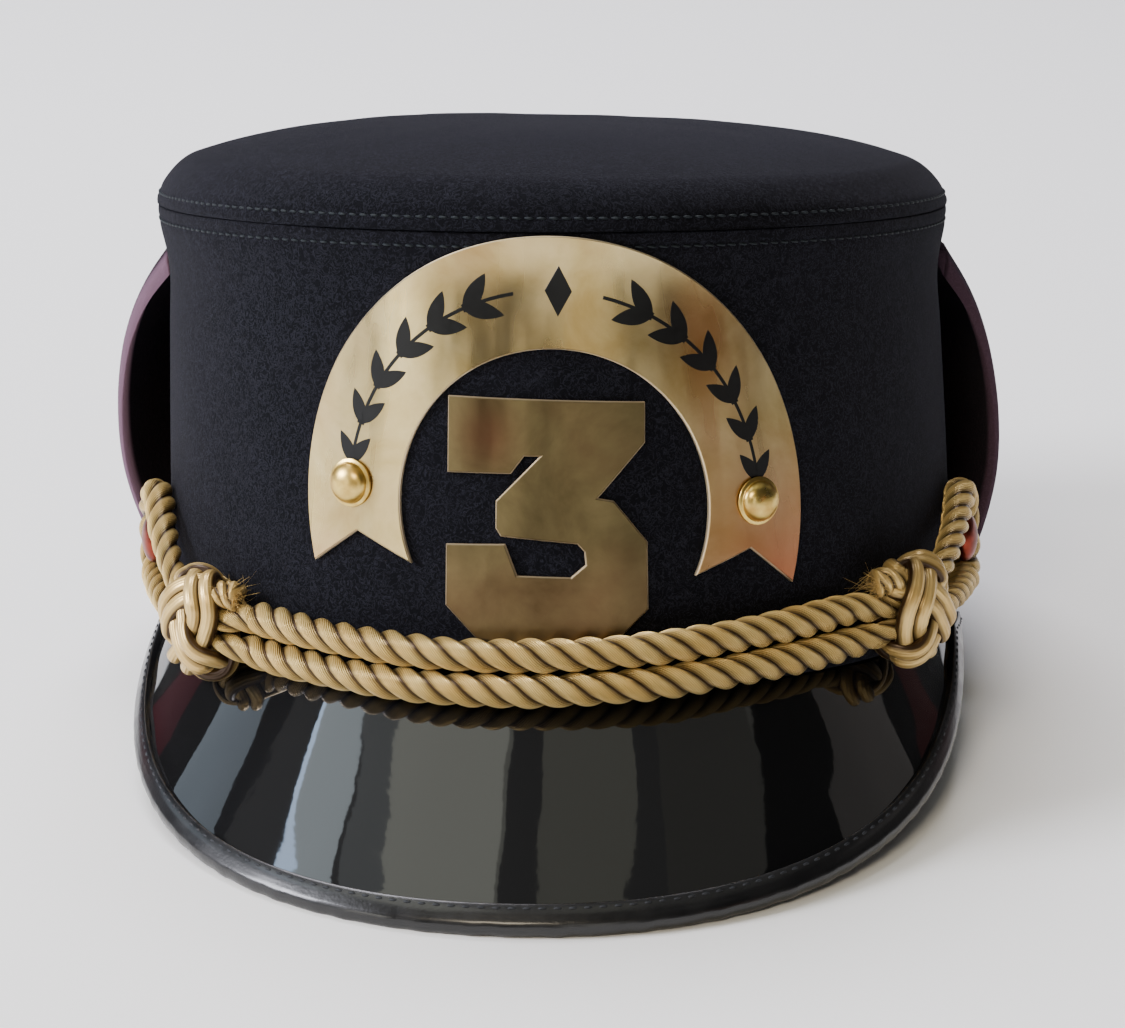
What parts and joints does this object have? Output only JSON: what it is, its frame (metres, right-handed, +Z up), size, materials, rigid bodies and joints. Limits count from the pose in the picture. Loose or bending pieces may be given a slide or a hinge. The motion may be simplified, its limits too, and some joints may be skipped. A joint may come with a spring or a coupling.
{
  "type": "peaked cap",
  "caption": "Black felt dress cap with a turned-up brim, patent leather peak, bare brass arc badge, plain block numeral and a knotted gold cord.",
  "frame": {"origin": "centre of the bounding box at the floor the cap rests on, on its peak's edge and the back of its lower edge", "axes": "+Y towards the back of the head, -Y towards the peak, +X to the left of the wearer, +Z up"},
  "size_m": [0.1888, 0.2558, 0.128],
  "materials": {
    "felt": "matte",
    "brim_felt": "matte",
    "patent": "gloss",
    "binding": "satin",
    "brass": "brushed",
    "bright_brass": "polished",
    "gold_cord": "satin"
  },
  "bodies": {
    "root": {"crown_side": "felt", "crown_top": "felt", "turned_up_brim": "brim_felt", "peak": "patent", "peak_binding": "binding", "arc_badge": "brass", "number_badge": "brass", "badge_stud_left": "bright_brass", "badge_stud_right": "bright_brass", "cap_cord": "gold_cord", "cord_knot_left": "gold_cord", "cord_knot_right": "gold_cord", "side_button_left": "bright_brass", "side_button_right": "bright_brass"}
  },
  "joints": []
}
